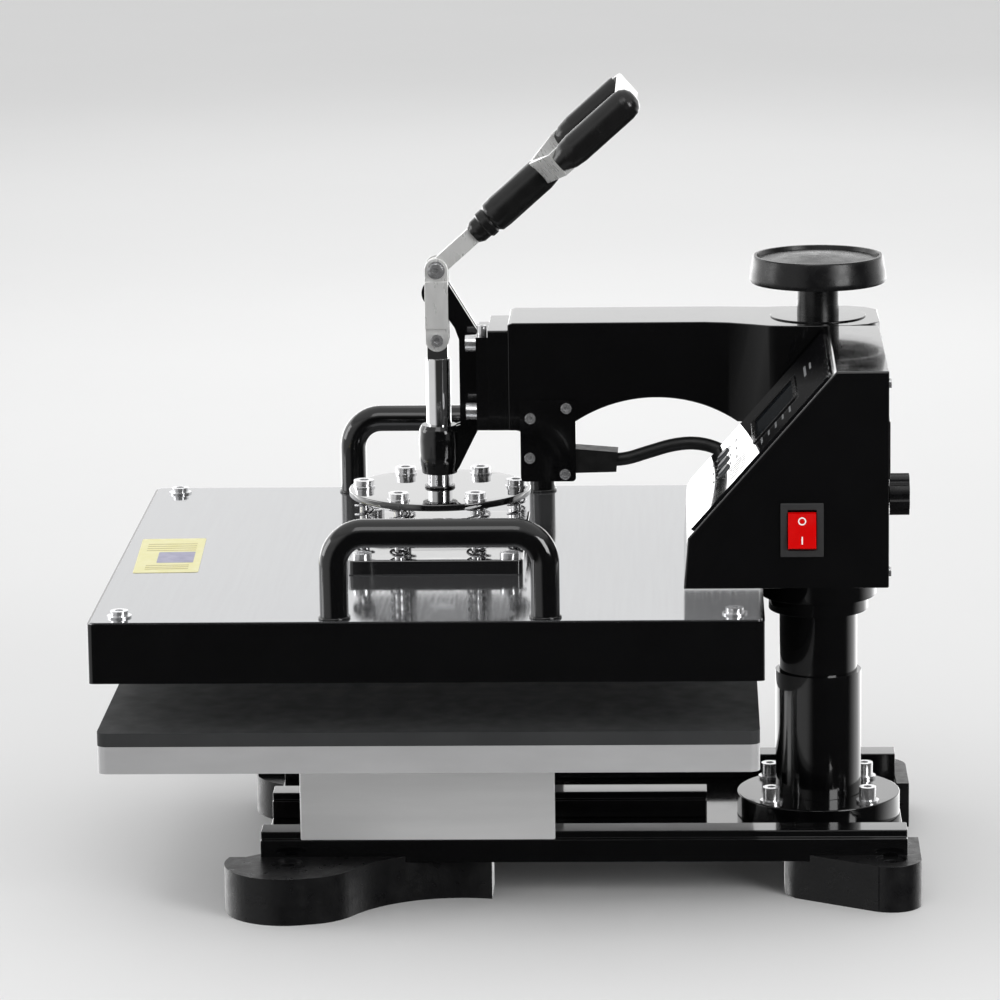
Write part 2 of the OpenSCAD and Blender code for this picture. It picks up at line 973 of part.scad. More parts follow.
module link_bolts() {
    color("silver") in_frame()
        for (s = [0, 1])
            mirror([s, 0, 0]) {
                translate([link_out, 0, rod_pin_z])
                    rotate([0, 90, 0])
                        cap_screw(3.8, 2.4, pin_r, link_out - link_in);
                translate([link_out, 0, pin_top_z])
                    rotate([0, 90, 0]) {
                        cylinder(r = 5.4, h = 0.7);
                        translate([0, 0, 0.7])
                            cap_screw(4.1, 2.5, 1, 0.01);
                    }
            }
}

// ---------- plunger and heated platen ----------

module plunger_rod() {
    color("#d0d0d0") in_frame()
        difference() {
            union() {
                translate([0, 0, disc_z])
                    cylinder(r = rod_r, h = 310 - disc_z);
                slab_yz(-5, 5) {
                    translate([-6, 309])
                        square([12, rod_pin_z - 309]);
                    translate([0, rod_pin_z])
                        circle(6);
                }
            }
            pin_x(0, rod_pin_z, pin_r + 0.5, -20, 20);
        }
}

module rod_collar() {
    color("#1b1b1b") in_frame()
        translate([0, 0, disc_top])
            difference() {
                cylinder(r = 9.2, h = 1.4);
                translate([0, 0, -1])
                    cylinder(r = rod_r, h = 8);
            }
}

module disc_bolt_places() {
    for (a = [30:60:330])
        rotate([0, 0, a])
            translate([disc_bolt_at, 0, 0])
                children();
}

module press_disc() {
    color("#181818") in_frame()
        difference() {
            translate([0, 0, disc_z])
                cylinder(r = disc_r, h = disc_t, $fn = 128);
            translate([0, 0, disc_z - 1])
                cylinder(r = rod_r, h = disc_t + 2);
            disc_bolt_places()
                translate([0, 0, disc_z - 1])
                    cylinder(r = 3.2, h = disc_t + 2);
        }
}

module disc_bolts() {
    color("silver") in_frame()
        disc_bolt_places()
            translate([0, 0, disc_top]) {
                cylinder(r = 6.8, h = 1);
                translate([0, 0, 1])
                    cap_screw(6.1, 3.6, 2.9, disc_top + 1 - sheet_top - 1);
            }
}

spring_turns = 4;
spring_steps = 10;
spring_coil_r = 5.2;
spring_wire_r = 0.9;

function spring_route() =
    let (z0 = spring_plate_top + spring_wire_r + 0.02, z1 = disc_z - spring_wire_r - 0.02,
        n = spring_turns * spring_steps)
    [for (i = [0:n]) let (a = 360 * i / spring_steps)
        [spring_coil_r * cos(a), spring_coil_r * sin(a), z0 + (z1 - z0) * i / n]];

module disc_springs() {
    color("#9a9a9a") in_frame()
        disc_bolt_places()
            tube(spring_route(), spring_wire_r, 6);
}

module spring_plate() {
    color("#121212") in_frame()
        difference() {
            translate([0, 0, sheet_top])
                rounded_slab(144, 104, spring_plate_t, 4);
            disc_bolt_places()
                translate([0, 0, sheet_top - 1])
                    cylinder(r = 3, h = spring_plate_t + 2);
            for (sx = [-1, 1], sy = [-1, 1])
                translate([sx * 64, sy * 44, sheet_top - 1])
                    cylinder(r = 3.1, h = spring_plate_t + 2);
        }
}

module platen_cover() {
    color("#121212") in_frame()
        difference() {
            translate([0, 0, cover_z0])
                rounded_slab(cover_w, cover_w, cover_h, 3);
            translate([0, 0, cover_z0 - 1])
                rounded_slab(cover_w - 3, cover_w - 3, cover_h - 0.5, 2);
            for (sx = [-1, 1], sy = [-1, 1])
                translate([sx * screw_at, sy * screw_at, cover_top - 5])
                    cylinder(r = 2.6, h = 10);
        }
}

module cover_sheet() {
    color("#c4c6c8") in_frame()
        difference() {
            translate([0, 0, cover_top])
                rounded_slab(sheet_w, sheet_w, sheet_t, 3);
            for (sx = [-1, 1], sy = [-1, 1])
                translate([sx * screw_at, sy * screw_at, cover_top - 5])
                    cylinder(r = 2.6, h = 10);
        }
}

module cover_screws() {
    color("silver") in_frame() {
        for (sx = [-1, 1], sy = [-1, 1])
            translate([sx * screw_at, sy * screw_at, sheet_top]) {
                cylinder(r = 7.2, h = 1);
                translate([0, 0, 1])
                    cap_screw(5.2, 2.8, 2.5, 20);
            }
        for (sx = [-1, 1], sy = [-1, 1])
            translate([sx * 64, sy * 44, spring_plate_top])
                cap_screw(6, 3.4, 3, spring_plate_t);
    }
}

module heat_platen() {
    color("#9c9c9c") in_frame()
        difference() {
            translate([0, 0, heat_z])
                rounded_slab(platen_w, platen_w, 14, 6);
            for (sx = [-1, 1], sy = [-1, 1])
                translate([sx * screw_at, sy * screw_at, heat_z + 6])
                    cylinder(r = 2.5, h = 20);
        }
}

// U of round tube, with quarter bends made by rotate_extrude
module carry_handle(y, drop) {
    leg = handle_top - drop - sheet_top - handle_bend;
    straight = 2 * (handle_half - handle_bend);
    color("#0d0d0d") in_frame()
        translate([handle_x - 2 * drop, y, sheet_top]) {
            for (sy = [-1, 1])
                translate([0, sy * handle_half, 0])
                    cylinder(r = handle_r, h = leg);
            translate([0, straight / 2, leg + handle_bend])
                rotate([90, 0, 0])
                    cylinder(r = handle_r, h = straight);
            for (s = [0, 1])
                mirror([0, s, 0])
                    translate([0, handle_half - handle_bend, leg])
                        rotate([90, 0, 90])
                            rotate_extrude(angle = 90)
                                translate([handle_bend, 0])
                                    circle(handle_r);
        }
}

module carry_handle_right() {
    carry_handle(handle_y_right, 0);
}

module carry_handle_left() {
    mirror([1, 0, 0])
        carry_handle(handle_y_left, handle_left_drop);
}

module rating_label() {
    color("#e6dc8c") in_frame()
        translate([12.5, -163.5, sheet_top])
            rotate([0, 0, 2.4])
                linear_extrude(0.2)
                    rounded_rect(96, 39, 2);
}

base_deck();
side_rails();
centre_rail();
foot_front_right();
foot_front_left();
foot_rear_right();
foot_rear_left();
column_flange();
column_sleeve();
flange_bolts();
support_bracket();
platen_screws();
lower_platen();
silicone_pad();
column_post();
post_nut();
swing_arm();
hub_cap();
arm_end_plate();
front_bracket();
bracket_bolts();
lever_pin();
cable_plate();
cable_boot();
platen_cord();
case_screws();
control_box();
box_back();
display_panel();
display_window();
switch_bezel();
power_inlet();
circuit_board();
transformer();
hand_wheel();
pressure_screw();
lock_knob();
power_rocker();
button_up();
button_down();
button_set();
lever_bar();
stem_grip();
stirrup_grips();
link_pin();
toggle_link();
link_bolts();
plunger_rod();
rod_collar();
press_disc();
disc_bolts();
disc_springs();
spring_plate();
platen_cover();
cover_sheet();
cover_screws();
heat_platen();
carry_handle_right();
carry_handle_left();
rating_label();
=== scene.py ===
import math
import bpy
import bmesh
from mathutils import Matrix, Vector


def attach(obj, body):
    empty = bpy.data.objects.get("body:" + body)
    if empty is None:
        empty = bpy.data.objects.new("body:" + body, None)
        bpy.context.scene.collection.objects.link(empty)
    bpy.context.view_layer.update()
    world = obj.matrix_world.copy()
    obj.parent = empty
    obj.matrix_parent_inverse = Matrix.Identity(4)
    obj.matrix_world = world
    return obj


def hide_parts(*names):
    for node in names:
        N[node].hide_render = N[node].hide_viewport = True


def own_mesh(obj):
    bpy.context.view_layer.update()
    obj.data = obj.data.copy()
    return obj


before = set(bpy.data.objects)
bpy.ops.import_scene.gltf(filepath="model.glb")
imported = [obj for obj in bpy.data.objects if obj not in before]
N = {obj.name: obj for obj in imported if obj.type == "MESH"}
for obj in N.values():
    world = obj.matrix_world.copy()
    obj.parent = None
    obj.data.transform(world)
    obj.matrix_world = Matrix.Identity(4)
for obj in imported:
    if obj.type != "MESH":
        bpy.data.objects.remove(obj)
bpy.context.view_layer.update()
MM = 0.001
PRESS_Y = -0.0465                 # the press axis in the row's frame; part.scad has it at Y = 0


def cad(x, y, z):
    """A point in part.scad's millimetres, as a point in the row's frame."""
    return Vector((x * MM, y * MM + PRESS_Y, z * MM))


# ---------------------------------------------------------------- materials

def material(name, base, rough, metal=0.0, spec=0.5, coat=0.0, coat_rough=0.08,
             bump=None, fine=None, rvar=None, cvar=None, stretch=(1, 1, 1)):
    """Procedural shader on object coordinates.

    bump = (scale, strength), and fine the same for a second layer;
    rvar = (scale, change of roughness); cvar = (scale, share, other colour)."""
    m = bpy.data.materials.new(name)
    m.use_nodes = True
    t = m.node_tree
    for n in list(t.nodes):
        t.nodes.remove(n)
    out = t.nodes.new("ShaderNodeOutputMaterial")
    b = t.nodes.new("ShaderNodeBsdfPrincipled")
    t.links.new(b.outputs[0], out.inputs[0])
    b.inputs["Base Color"].default_value = (*base, 1)
    b.inputs["Roughness"].default_value = rough
    b.inputs["Metallic"].default_value = metal
    b.inputs["Specular IOR Level"].default_value = spec
    b.inputs["Coat Weight"].default_value = coat
    b.inputs["Coat Roughness"].default_value = coat_rough
    co = t.nodes.new("ShaderNodeTexCoord")
    mp = t.nodes.new("ShaderNodeMapping")
    mp.inputs["Scale"].default_value = stretch
    t.links.new(co.outputs["Object"], mp.inputs["Vector"])

    def noise(scale, detail=3.0):
        n = t.nodes.new("ShaderNodeTexNoise")
        n.inputs["Scale"].default_value = scale
        n.inputs["Detail"].default_value = detail
        t.links.new(mp.outputs[0], n.inputs["Vector"])
        return n

    if rvar:
        n = noise(rvar[0], 4.0)
        r = t.nodes.new("ShaderNodeMapRange")
        r.inputs["From Min"].default_value = 0.3
        r.inputs["From Max"].default_value = 0.7
        r.inputs["To Min"].default_value = max(rough - rvar[1], 0.02)
        r.inputs["To Max"].default_value = min(rough + rvar[1], 1.0)
        t.links.new(n.outputs["Fac"], r.inputs["Value"])
        t.links.new(r.outputs[0], b.inputs["Roughness"])
    if cvar:
        n = noise(cvar[0], 5.0)
        r = t.nodes.new("ShaderNodeMapRange")
        r.inputs["From Min"].default_value = 0.35
        r.inputs["From Max"].default_value = 0.7
        r.inputs["To Max"].default_value = cvar[1]
        mx = t.nodes.new("ShaderNodeMix")
        mx.data_type = "RGBA"
        mx.inputs["A"].default_value = (*base, 1)
        mx.inputs["B"].default_value = (*cvar[2], 1)
        t.links.new(n.outputs["Fac"], r.inputs["Value"])
        t.links.new(r.outputs[0], mx.inputs["Factor"])
        t.links.new(mx.outputs["Result"], b.inputs["Base Color"])
    last = None
    for layer in (bump, fine):
        if layer:
            n = noise(layer[0], 2.0)
            bp = t.nodes.new("ShaderNodeBump")
            bp.inputs["Strength"].default_value = layer[1]
            bp.inputs["Distance"].default_value = 0.0004
            t.links.new(n.outputs["Fac"], bp.inputs["Height"])
            if last:
                t.links.new(last.outputs[0], bp.inputs["Normal"])
            last = bp
    if last:
        t.links.new(last.outputs[0], b.inputs["Normal"])
    return m


M = {
    "paint": material("gloss_black_paint", (0.0022, 0.0022, 0.0024), 0.11, spec=0.4, coat=0.5,
                      coat_rough=0.04, bump=(260, 0.03), fine=(1500, 0.02), rvar=(90, 0.03),
                      cvar=(45, 0.5, (0.0035, 0.0035, 0.0038))),
    "mirror": material("polished_black_plate", (0.004, 0.004, 0.0045), 0.05, spec=0.9, coat=1.0,
                       coat_rough=0.02, bump=(220, 0.02), rvar=(90, 0.02),
                       cvar=(45, 0.5, (0.007, 0.007, 0.0075))),
    "cast": material("satin_black_cast", (0.0060, 0.0060, 0.0065), 0.33, spec=0.3, bump=(420, 0.32),
                     fine=(1600, 0.22), rvar=(120, 0.08), cvar=(60, 0.7, (0.011, 0.011, 0.0115))),
    "sheet": material("brushed_stainless", (0.36, 0.365, 0.375), 0.08, metal=0.86, bump=(700, 0.010),
                      rvar=(500, 0.03), cvar=(420, 0.4, (0.33, 0.33, 0.34)), stretch=(0.03, 1, 1)),
    "bracket": material("satin_sheet_steel", (0.86, 0.86, 0.86), 0.42, metal=0.25, bump=(500, 0.05),
                        rvar=(300, 0.06), cvar=(70, 0.7, (0.76, 0.76, 0.76)), stretch=(1, 0.12, 1)),
    "alu": material("milled_aluminium", (0.50, 0.50, 0.505), 0.4, metal=0.3, bump=(700, 0.06),
                    rvar=(160, 0.06), cvar=(60, 0.7, (0.43, 0.43, 0.435)), stretch=(1, 0.25, 1)),
    "link": material("zinc_steel", (0.78, 0.78, 0.77), 0.30, metal=0.45, bump=(600, 0.06), rvar=(250, 0.08),
                     cvar=(160, 0.6, (0.66, 0.66, 0.65)), stretch=(1, 1, 0.3)),
    "bright": material("bright_screw_steel", (0.82, 0.82, 0.83), 0.18, metal=0.85, bump=(900, 0.05),
                       rvar=(400, 0.06), cvar=(300, 0.5, (0.62, 0.62, 0.63))),
    "chrome": material("hard_chrome", (0.86, 0.86, 0.87), 0.07, metal=1.0, bump=(1200, 0.015),
                       rvar=(300, 0.03), cvar=(100, 0.3, (0.74, 0.74, 0.75))),
    "silicone": material("grey_silicone", (0.034, 0.035, 0.036), 0.62, spec=0.25, bump=(1400, 0.2),
                         fine=(300, 0.06), rvar=(80, 0.06), cvar=(30, 0.7, (0.026, 0.027, 0.028))),
    "plastic": material("black_moulded_plastic", (0.005, 0.005, 0.0055), 0.27, spec=0.35, bump=(1800, 0.06),
                        rvar=(150, 0.06), cvar=(90, 0.5, (0.010, 0.010, 0.010))),
    "bezel": material("grey_black_plastic", (0.022, 0.022, 0.023), 0.5, spec=0.4, bump=(2600, 0.3),
                      rvar=(200, 0.06), cvar=(300, 0.5, (0.03, 0.03, 0.03))),
    "grip": material("smooth_grip_rubber", (0.007, 0.007, 0.007), 0.22, spec=0.45, bump=(500, 0.05),
                     fine=(2000, 0.03), rvar=(100, 0.07), cvar=(130, 0.5, (0.011, 0.011, 0.011))),
    "cord": material("cord_sleeve", (0.006, 0.006, 0.006), 0.42, spec=0.35, bump=(900, 0.2), rvar=(250, 0.06),
                     cvar=(200, 0.5, (0.018, 0.018, 0.018))),
    "film": material("overlay_film", (0.004, 0.004, 0.005), 0.06, spec=0.9, coat=1.0, coat_rough=0.03,
                     bump=(1500, 0.01), rvar=(120, 0.02), cvar=(50, 0.5, (0.007, 0.007, 0.0085))),
    "window": material("smoked_window", (0.004, 0.006, 0.008), 0.05, spec=0.5, bump=(500, 0.01),
                       rvar=(80, 0.02), cvar=(60, 0.5, (0.007, 0.010, 0.013))),
    "print": material("pale_print", (0.16, 0.165, 0.17), 0.4, bump=(2500, 0.05), rvar=(300, 0.06),
                      cvar=(400, 0.6, (0.11, 0.115, 0.12))),
    "slot": material("vent_shadow", (0.002, 0.002, 0.002), 0.7, spec=0.1, bump=(900, 0.1), rvar=(200, 0.05),
                     cvar=(200, 0.5, (0.004, 0.004, 0.004))),
    "key": material("key_cap", (0.10, 0.105, 0.11), 0.38, bump=(1800, 0.12), rvar=(200, 0.06),
                    cvar=(200, 0.5, (0.075, 0.08, 0.085))),
    "red": material("red_rocker", (0.56, 0.001, 0.001), 0.20, spec=0.3, bump=(700, 0.02), rvar=(120, 0.05),
                    cvar=(90, 0.4, (0.50, 0.001, 0.001))),
    "white": material("white_mark", (0.86, 0.84, 0.82), 0.4, bump=(1500, 0.05), rvar=(200, 0.05),
                      cvar=(500, 0.5, (0.74, 0.72, 0.70))),
    "label": material("pale_yellow_film", (0.80, 0.76, 0.36), 0.42, bump=(900, 0.05), rvar=(150, 0.08),
                      cvar=(110, 0.5, (0.88, 0.84, 0.52))),
    "label_ink": material("lavender_ink", (0.30, 0.29, 0.42), 0.42, bump=(900, 0.05), rvar=(150, 0.08),
                          cvar=(200, 0.6, (0.42, 0.41, 0.55))),
    "label_line": material("ochre_ink", (0.40, 0.33, 0.10), 0.42, bump=(900, 0.05), rvar=(150, 0.08),
                           cvar=(200, 0.6, (0.50, 0.43, 0.18))),
    "board": material("green_board", (0.02, 0.12, 0.05), 0.45, bump=(400, 0.2), rvar=(150, 0.08),
                      cvar=(300, 0.5, (0.03, 0.2, 0.08))),
    "copper": material("copper_winding", (0.55, 0.25, 0.10), 0.35, metal=0.9, bump=(1200, 0.3),
                       rvar=(200, 0.08), cvar=(300, 0.5, (0.42, 0.18, 0.07)), stretch=(1, 1, 6)),
    "bronze": material("machined_bronze", (0.62, 0.42, 0.20), 0.3, metal=1.0, bump=(700, 0.05),
                       rvar=(150, 0.06), cvar=(120, 0.5, (0.50, 0.33, 0.15))),
    "wire": material("oiled_spring_wire", (0.42, 0.42, 0.43), 0.26, metal=1.0, bump=(1500, 0.05),
                     rvar=(300, 0.08), cvar=(300, 0.6, (0.27, 0.27, 0.28))),
    "brass": material("brass_pins", (0.75, 0.60, 0.30), 0.22, metal=1.0, bump=(900, 0.05), rvar=(200, 0.05),
                      cvar=(200, 0.5, (0.6, 0.47, 0.22))),
}

# the CAD nodes that each material covers; the rest are painted gloss black
LOOK = {
    "mirror": ["press_disc", "spring_plate"],
    "cast": ["foot_front_right", "foot_front_left", "foot_rear_right", "foot_rear_left"],
    "bracket": ["support_bracket"],
    "alu": ["lower_platen", "heat_platen"],
    "silicone": ["silicone_pad"],
    "bright": ["flange_bolts", "platen_screws", "bracket_bolts", "lever_pin", "case_screws",
               "pressure_screw", "link_pin", "link_bolts", "disc_bolts", "cover_screws"],
    "bronze": ["post_nut"],
    "cord": ["cable_boot", "platen_cord"],
    "film": ["display_panel"],
    "window": ["display_window"],
    "bezel": ["switch_bezel"],
    "plastic": ["power_inlet", "hand_wheel", "lock_knob"],
    "board": ["circuit_board"],
    "copper": ["transformer"],
    "red": ["power_rocker"],
    "key": ["button_up", "button_down", "button_set"],
    "link": ["lever_bar", "toggle_link"],
    "grip": ["stem_grip", "stirrup_grips"],
    "chrome": ["plunger_rod"],
    "wire": ["disc_springs"],
    "sheet": ["cover_sheet"],
    "label": ["rating_label"],
}
look_of = {node: look for look, nodes in LOOK.items() for node in nodes}

# bevel width in millimetres for each CAD node; a node not named here has BEVEL_SMALL
BEVEL_SMALL = 0.2
BEVEL_FINE = 0.5                  # from this width up a bevel has three segments
BEVEL = {"control_box": 1.1, "box_back": 0.4, "lower_platen": 0.9, "silicone_pad": 0.8,
         "heat_platen": 0.7, "platen_cover": 1.2, "cover_sheet": 0.25, "support_bracket": 0.9,
         "swing_arm": 1.6, "arm_end_plate": 0.9, "foot_front_right": 1.6, "foot_front_left": 1.6,
         "foot_rear_right": 1.6, "foot_rear_left": 1.6, "column_flange": 0.8, "column_sleeve": 0.8,
         "side_rails": 0.7, "centre_rail": 0.7, "base_deck": 0.5, "spring_plate": 0.8, "press_disc": 0.7,
         "cable_plate": 0.6, "cable_boot": 1.2, "front_bracket": 0.6, "hand_wheel": 0.5, "lock_knob": 0.7,
         "lever_bar": 0.5, "toggle_link": 0.5, "switch_bezel": 0.5, "power_rocker": 0.5,
         "display_panel": 0.25, "power_inlet": 0.5, "rod_collar": 0.5, "hub_cap": 0.4,
         "plunger_rod": 0.3, "button_up": 0.3, "button_down": 0.3, "button_set": 0.3, "rating_label": 0}
SHARP = math.radians(32)          # edges of the CAD nodes sharper than this stay sharp
BEVEL_ANGLE = math.radians(38)    # and edges sharper than this are bevelled


def keep_flat(o):
    """Large faces keep their own normal beside the bevels."""
    wn = o.modifiers.new("normals", "WEIGHTED_NORMAL")
    wn.mode = "FACE_AREA"
    wn.weight = 100
    wn.keep_sharp = True


def round_edges(o, width, segments):
    bevel = o.modifiers.new("bevel", "BEVEL")
    bevel.width = width
    bevel.segments = segments
    bevel.limit_method = "ANGLE"
    bevel.angle_limit = BEVEL_ANGLE


def smooth(mesh, angle):
    for p in mesh.polygons:
        p.use_smooth = True
    mesh.set_sharp_from_angle(angle=angle)


def finish_node(name, o):
    """Material, shading and rounded edges for a node carried over from CAD."""
    mesh = o.data
    mesh.materials.clear()
    mesh.materials.append(M[look_of.get(name, "paint")])
    mesh.polygons.foreach_set("material_index", [0] * len(mesh.polygons))
    weld = o.modifiers.new("weld", "WELD")
    weld.merge_threshold = 0.01 * MM
    width = BEVEL.get(name, BEVEL_SMALL)
    if width:
        round_edges(o, width * MM, 3 if width >= BEVEL_FINE else 2)
    if "custom_normal" in mesh.attributes:
        mesh.attributes.remove(mesh.attributes["custom_normal"])
    smooth(mesh, SHARP)
    keep_flat(o)


for name, o in N.items():
    finish_node(name, o)


# ---------------------------------------------------------------- mesh helpers

def add(name, verts, faces, mat, body, slot, bevel=0.0, angle=40):
    """A new piece that rides on a body; edges sharper than angle stay sharp."""
    me = bpy.data.meshes.new(name)
    me.from_pydata([tuple(v) for v in verts], [], faces)
    me.validate()
    bm = bmesh.new()
    bm.from_mesh(me)
    bmesh.ops.recalc_face_normals(bm, faces=bm.faces)
    bm.to_mesh(me)
    bm.free()
    o = bpy.data.objects.new(name, me)
    bpy.context.scene.collection.objects.link(o)
    me.materials.append(mat)
    smooth(me, math.radians(angle))
    if bevel:
        round_edges(o, bevel, 2)
        keep_flat(o)
    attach(o, body)
    return o


def tube(points, r, n=16):
    """Rings of n points along the route, with closed ends."""
    pts = [Vector(p) for p in points]
    verts, faces = [], []
    t = (pts[1] - pts[0]).normalized()
    side = t.orthogonal().normalized()
    for i, p in enumerate(pts):
        a = pts[max(i - 1, 0)]
        b = pts[min(i + 1, len(pts) - 1)]
        t = (b - a).normalized()
        side = (side - t * side.dot(t)).normalized()
        up = t.cross(side)
        for k in range(n):
            c = 2 * math.pi * k / n
            verts.append(p + r * (math.cos(c) * side + math.sin(c) * up))
    m = len(pts)
    for i in range(m - 1):
        for k in range(n):
            q = (k + 1) % n
            faces.append([i * n + k, i * n + q, (i + 1) * n + q, (i + 1) * n + k])
    faces.append([k for k in range(n - 1, -1, -1)])
    faces.append([(m - 1) * n + k for k in range(n)])
    return verts, faces


def smooth_route(pts, steps=8):
    """Catmull-Rom through the points."""
    p = [Vector(q) for q in pts]
    p = [p[0] * 2 - p[1]] + p + [p[-1] * 2 - p[-2]]
    out = []
    for i in range(1, len(p) - 2):
        for k in range(steps):
            t = k / steps
            a, b, c, d = p[i - 1], p[i], p[i + 1], p[i + 2]
            out.append(0.5 * ((2 * b) + (c - a) * t + (2 * a - 5 * b + 4 * c - d) * t * t
                              + (3 * b - a - 3 * c + d) * t ** 3))
    out.append(p[-2])
    return out


def plate(outline, z0, z1, place):
    """Extruded outline (list of (x, y)); place maps (x, y, z) to the row frame."""
    n = len(outline)
    verts = [place(x, y, z0) for x, y in outline] + [place(x, y, z1) for x, y in outline]
    faces = [list(range(n - 1, -1, -1)), list(range(n, 2 * n))]
    faces += [[i, (i + 1) % n, n + (i + 1) % n, n + i] for i in range(n)]
    return verts, faces


def rounded(w, h, r, cx=0.0, cy=0.0, n=6):
    """Outline of a rounded rectangle about (cx, cy)."""
    out = []
    for sx, sy, a0 in ((1, 1, 0), (-1, 1, 90), (-1, -1, 180), (1, -1, 270)):
        for k in range(n + 1):
            a = math.radians(a0 + 90 * k / n)
            x = cx + sx * (w / 2 - r) + r * math.cos(a)
            y = cy + sy * (h / 2 - r) + r * math.sin(a)
            out.append((x, y))
    return out


def join(parts):
    """Several (verts, faces) as one."""
    verts, faces = [], []
    for v, f in parts:
        k = len(verts)
        verts += list(v)
        faces += [[i + k for i in q] for q in f]
    return verts, faces


def ring_plate(w, h, r, t, cx, cy, h0, h1, place):
    """A rounded frame of width t between the heights h0 and h1."""
    a = rounded(w, h, r, cx, cy)
    b = rounded(w - 2 * t, h - 2 * t, max(r - t, 0.2), cx, cy)
    n = len(a)
    verts = [place(x, y, z) for z in (h0, h1) for outline in (a, b) for x, y in outline]
    faces = []
    for i in range(n):
        j = (i + 1) % n
        faces.append([i, j, n + j, n + i])
        faces.append([2 * n + i, 3 * n + i, 3 * n + j, 2 * n + j])
        faces.append([i, 2 * n + i, 2 * n + j, j])
        faces.append([n + i, n + j, 3 * n + j, 3 * n + i])
    return verts, faces


# ---------------------------------------------------------------- springs under the disc

SPRING_CIRCLE = 46
SPRING_FOOT = 202.1
SPRING_HEAD = 225.9
SPRING_TURNS = 5.5
SPRING_STEPS = 22                 # points to a turn
COIL_R = 5.2
WIRE_R = 0.82
CLOSED = 0.12                     # share of the wire in each closed end coil
CLOSED_RISE = 0.04                # share of the height that the closed coils climb


def spring(x, y):
    route = []
    total = int(SPRING_TURNS * SPRING_STEPS)
    for i in range(total + 1):
        u = i / total
        open_part = min(max((u - CLOSED) / (1 - 2 * CLOSED), 0.0), 1.0)
        rise = CLOSED_RISE * u + (1 - CLOSED_RISE) * open_part
        a = 2 * math.pi * SPRING_TURNS * u
        z = SPRING_FOOT + (SPRING_HEAD - SPRING_FOOT) * rise
        route.append(cad(x + COIL_R * math.cos(a), y + COIL_R * math.sin(a), z))
    return tube(route, WIRE_R * MM, 8)


coils = []
for angle in range(30, 360, 60):
    a = math.radians(angle)
    coils.append(spring(SPRING_CIRCLE * math.cos(a), SPRING_CIRCLE * math.sin(a)))
o = add("platen_springs", *join(coils), M["wire"], "plunger", "spring_steel", angle=80)
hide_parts("disc_springs")
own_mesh(o)

# ---------------------------------------------------------------- cord from the boot to the box

CORD_ROUTE = [(20, 104, 251), (20, 110, 251.3), (20, 116, 252.4), (20.2, 123, 254.6), (20.5, 130, 256.8),
              (21, 138, 259.2), (22, 146, 260.8), (22.6, 153, 261.2), (23.2, 160, 260.4), (24.2, 166, 258.7),
              (26.2, 171, 256.5), (29.2, 174.6, 254.6), (32, 176.3, 253.6), (35.8, 177.4, 252.8)]
CORD_R = 3.95
run = smooth_route([cad(*p) for p in CORD_ROUTE], 6)
o = add("platen_lead", *tube(run, CORD_R * MM, 20), M["cord"], "arm", "cord_rubber", angle=60)
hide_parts("platen_cord")

# ---------------------------------------------------------------- control panel details

PANEL_FOOT = cad(113, 149.3, 238.7)   # middle of the slope's lower edge
PANEL_ANGLE = math.atan2(334 - 238.7, 233.5 - 149.3)
PANEL_UP = Vector((0, math.cos(PANEL_ANGLE), math.sin(PANEL_ANGLE)))
PANEL_OUT = Vector((0, -math.sin(PANEL_ANGLE), math.cos(PANEL_ANGLE)))
FILM = 1.4                        # thickness of the panel on the slope
KEYS_AT = (-36, -12, 12)
PRINT = 0.12                      # how far print stands out


def on_panel(x, s, h):
    """x to the operator's right, s up the slope, h out of it from the panel's face, in millimetres."""
    return PANEL_FOOT + (Vector((x, 0, 0)) + PANEL_UP * s + PANEL_OUT * (FILM + h)) * MM


add("window_frame", *ring_plate(66, 38, 3, 3, 0, 78, -0.2, 0.9, on_panel), M["plastic"], "arm",
    "dark_plastic", bevel=0.3 * MM)

# The louvres are thin dark plates on the panel's face: painted shade standing in for vent slots, which are
# not cut.
louvres = [rounded(1.1, 14, 0.5, 26 + 5.4 * k, 45) for k in range(7)]
add("panel_louvres", *join([plate(q, -0.1, 0.15, on_panel) for q in louvres]), M["slot"], "arm",
    "panel_print")

marks = []
for x in KEYS_AT:
    marks += [rounded(9, 1.4, 0.6, x, 45), rounded(6, 1.2, 0.5, x, 24.5)]
marks += [rounded(16 - 3 * (k % 2), 1.4, 0.6, 46, 66 + 6 * k) for k in range(5)]
marks += [rounded(30, 1.8, 0.8, -12, 105), rounded(18, 1.4, 0.6, -12, 109.5)]
add("panel_marks", *join([plate(q, -0.1, PRINT, on_panel) for q in marks]), M["print"], "arm",
    "panel_print")

rings = [ring_plate(12.5, 12.5, 6.24, 0.6, x, 34, -0.1, 0.2, on_panel) for x in KEYS_AT]
add("key_rings", *join(rings), M["print"], "arm", "panel_print")

# ---------------------------------------------------------------- O and I on the rocker

ROCKER_BEND = cad(193, 214, 243.5)
ROCKER_UPPER = Vector((-0.4, 0, 9.8)).normalized()    # up the face above its bend
ROCKER_LOWER = Vector((-2.2, 0, 9.6)).normalized()    # and below it


def on_rocker(y, u, h):
    """u runs up the face from its bend and h is outwards, in millimetres."""
    d = ROCKER_UPPER if u >= 0 else ROCKER_LOWER
    out = Vector((d.z, 0, -d.x))
    return ROCKER_BEND + (Vector((0, y, 0)) + d * u + out * h) * MM


mark_o = ring_plate(4.6, 4.6, 2.29, 0.7, 0, 5.5, -0.1, PRINT, on_rocker)
mark_i = plate(rounded(0.8, 4.4, 0.35, 0, -5.5), -0.1, PRINT, on_rocker)
add("rocker_marks", *join([mark_o, mark_i]), M["white"], "rocker", "red_rocker")

# ---------------------------------------------------------------- plain print on the label

LABEL = cad(12.5, -163.5, 192.2)
LABEL_TURN = math.radians(2.4)


def on_label(x, y, h):
    c, s = math.cos(LABEL_TURN), math.sin(LABEL_TURN)
    return LABEL + Vector((x * c - y * s, x * s + y * c, h)) * MM


